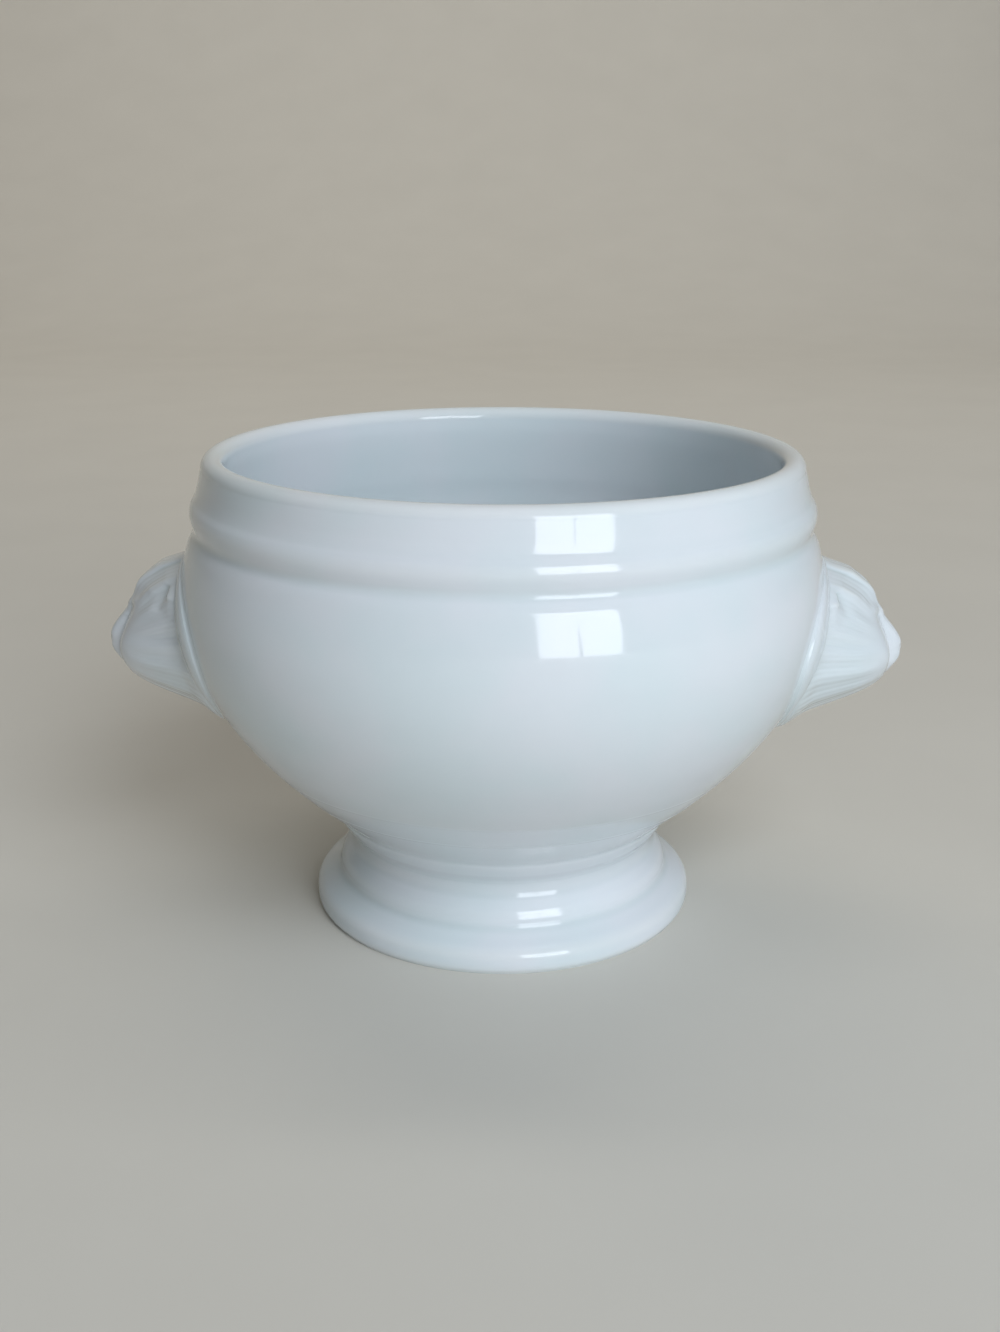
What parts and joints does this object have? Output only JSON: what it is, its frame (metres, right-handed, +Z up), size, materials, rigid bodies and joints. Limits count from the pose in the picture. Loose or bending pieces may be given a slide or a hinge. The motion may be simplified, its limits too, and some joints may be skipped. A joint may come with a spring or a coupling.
{
  "type": "soup bowl",
  "caption": "Deep round soup crock with a rolled rim, a moulded neck band, a lion head on each side as a handle and a hollow, flared pedestal foot.",
  "frame": {"origin": "middle of the standing ring, on the surface that the crock stands on", "axes": "+Z up along the bowl's axis, +X out through the right lion head, -Y towards the camera"},
  "size_m": [0.1642, 0.13, 0.0965],
  "materials": {
    "white_glaze": "clear gloss glaze over cool white porcelain"
  },
  "bodies": {
    "root": {"bowl_body": "white_glaze", "pedestal_foot": "white_glaze", "lion_head_left": "white_glaze", "lion_head_right": "white_glaze"}
  },
  "joints": []
}
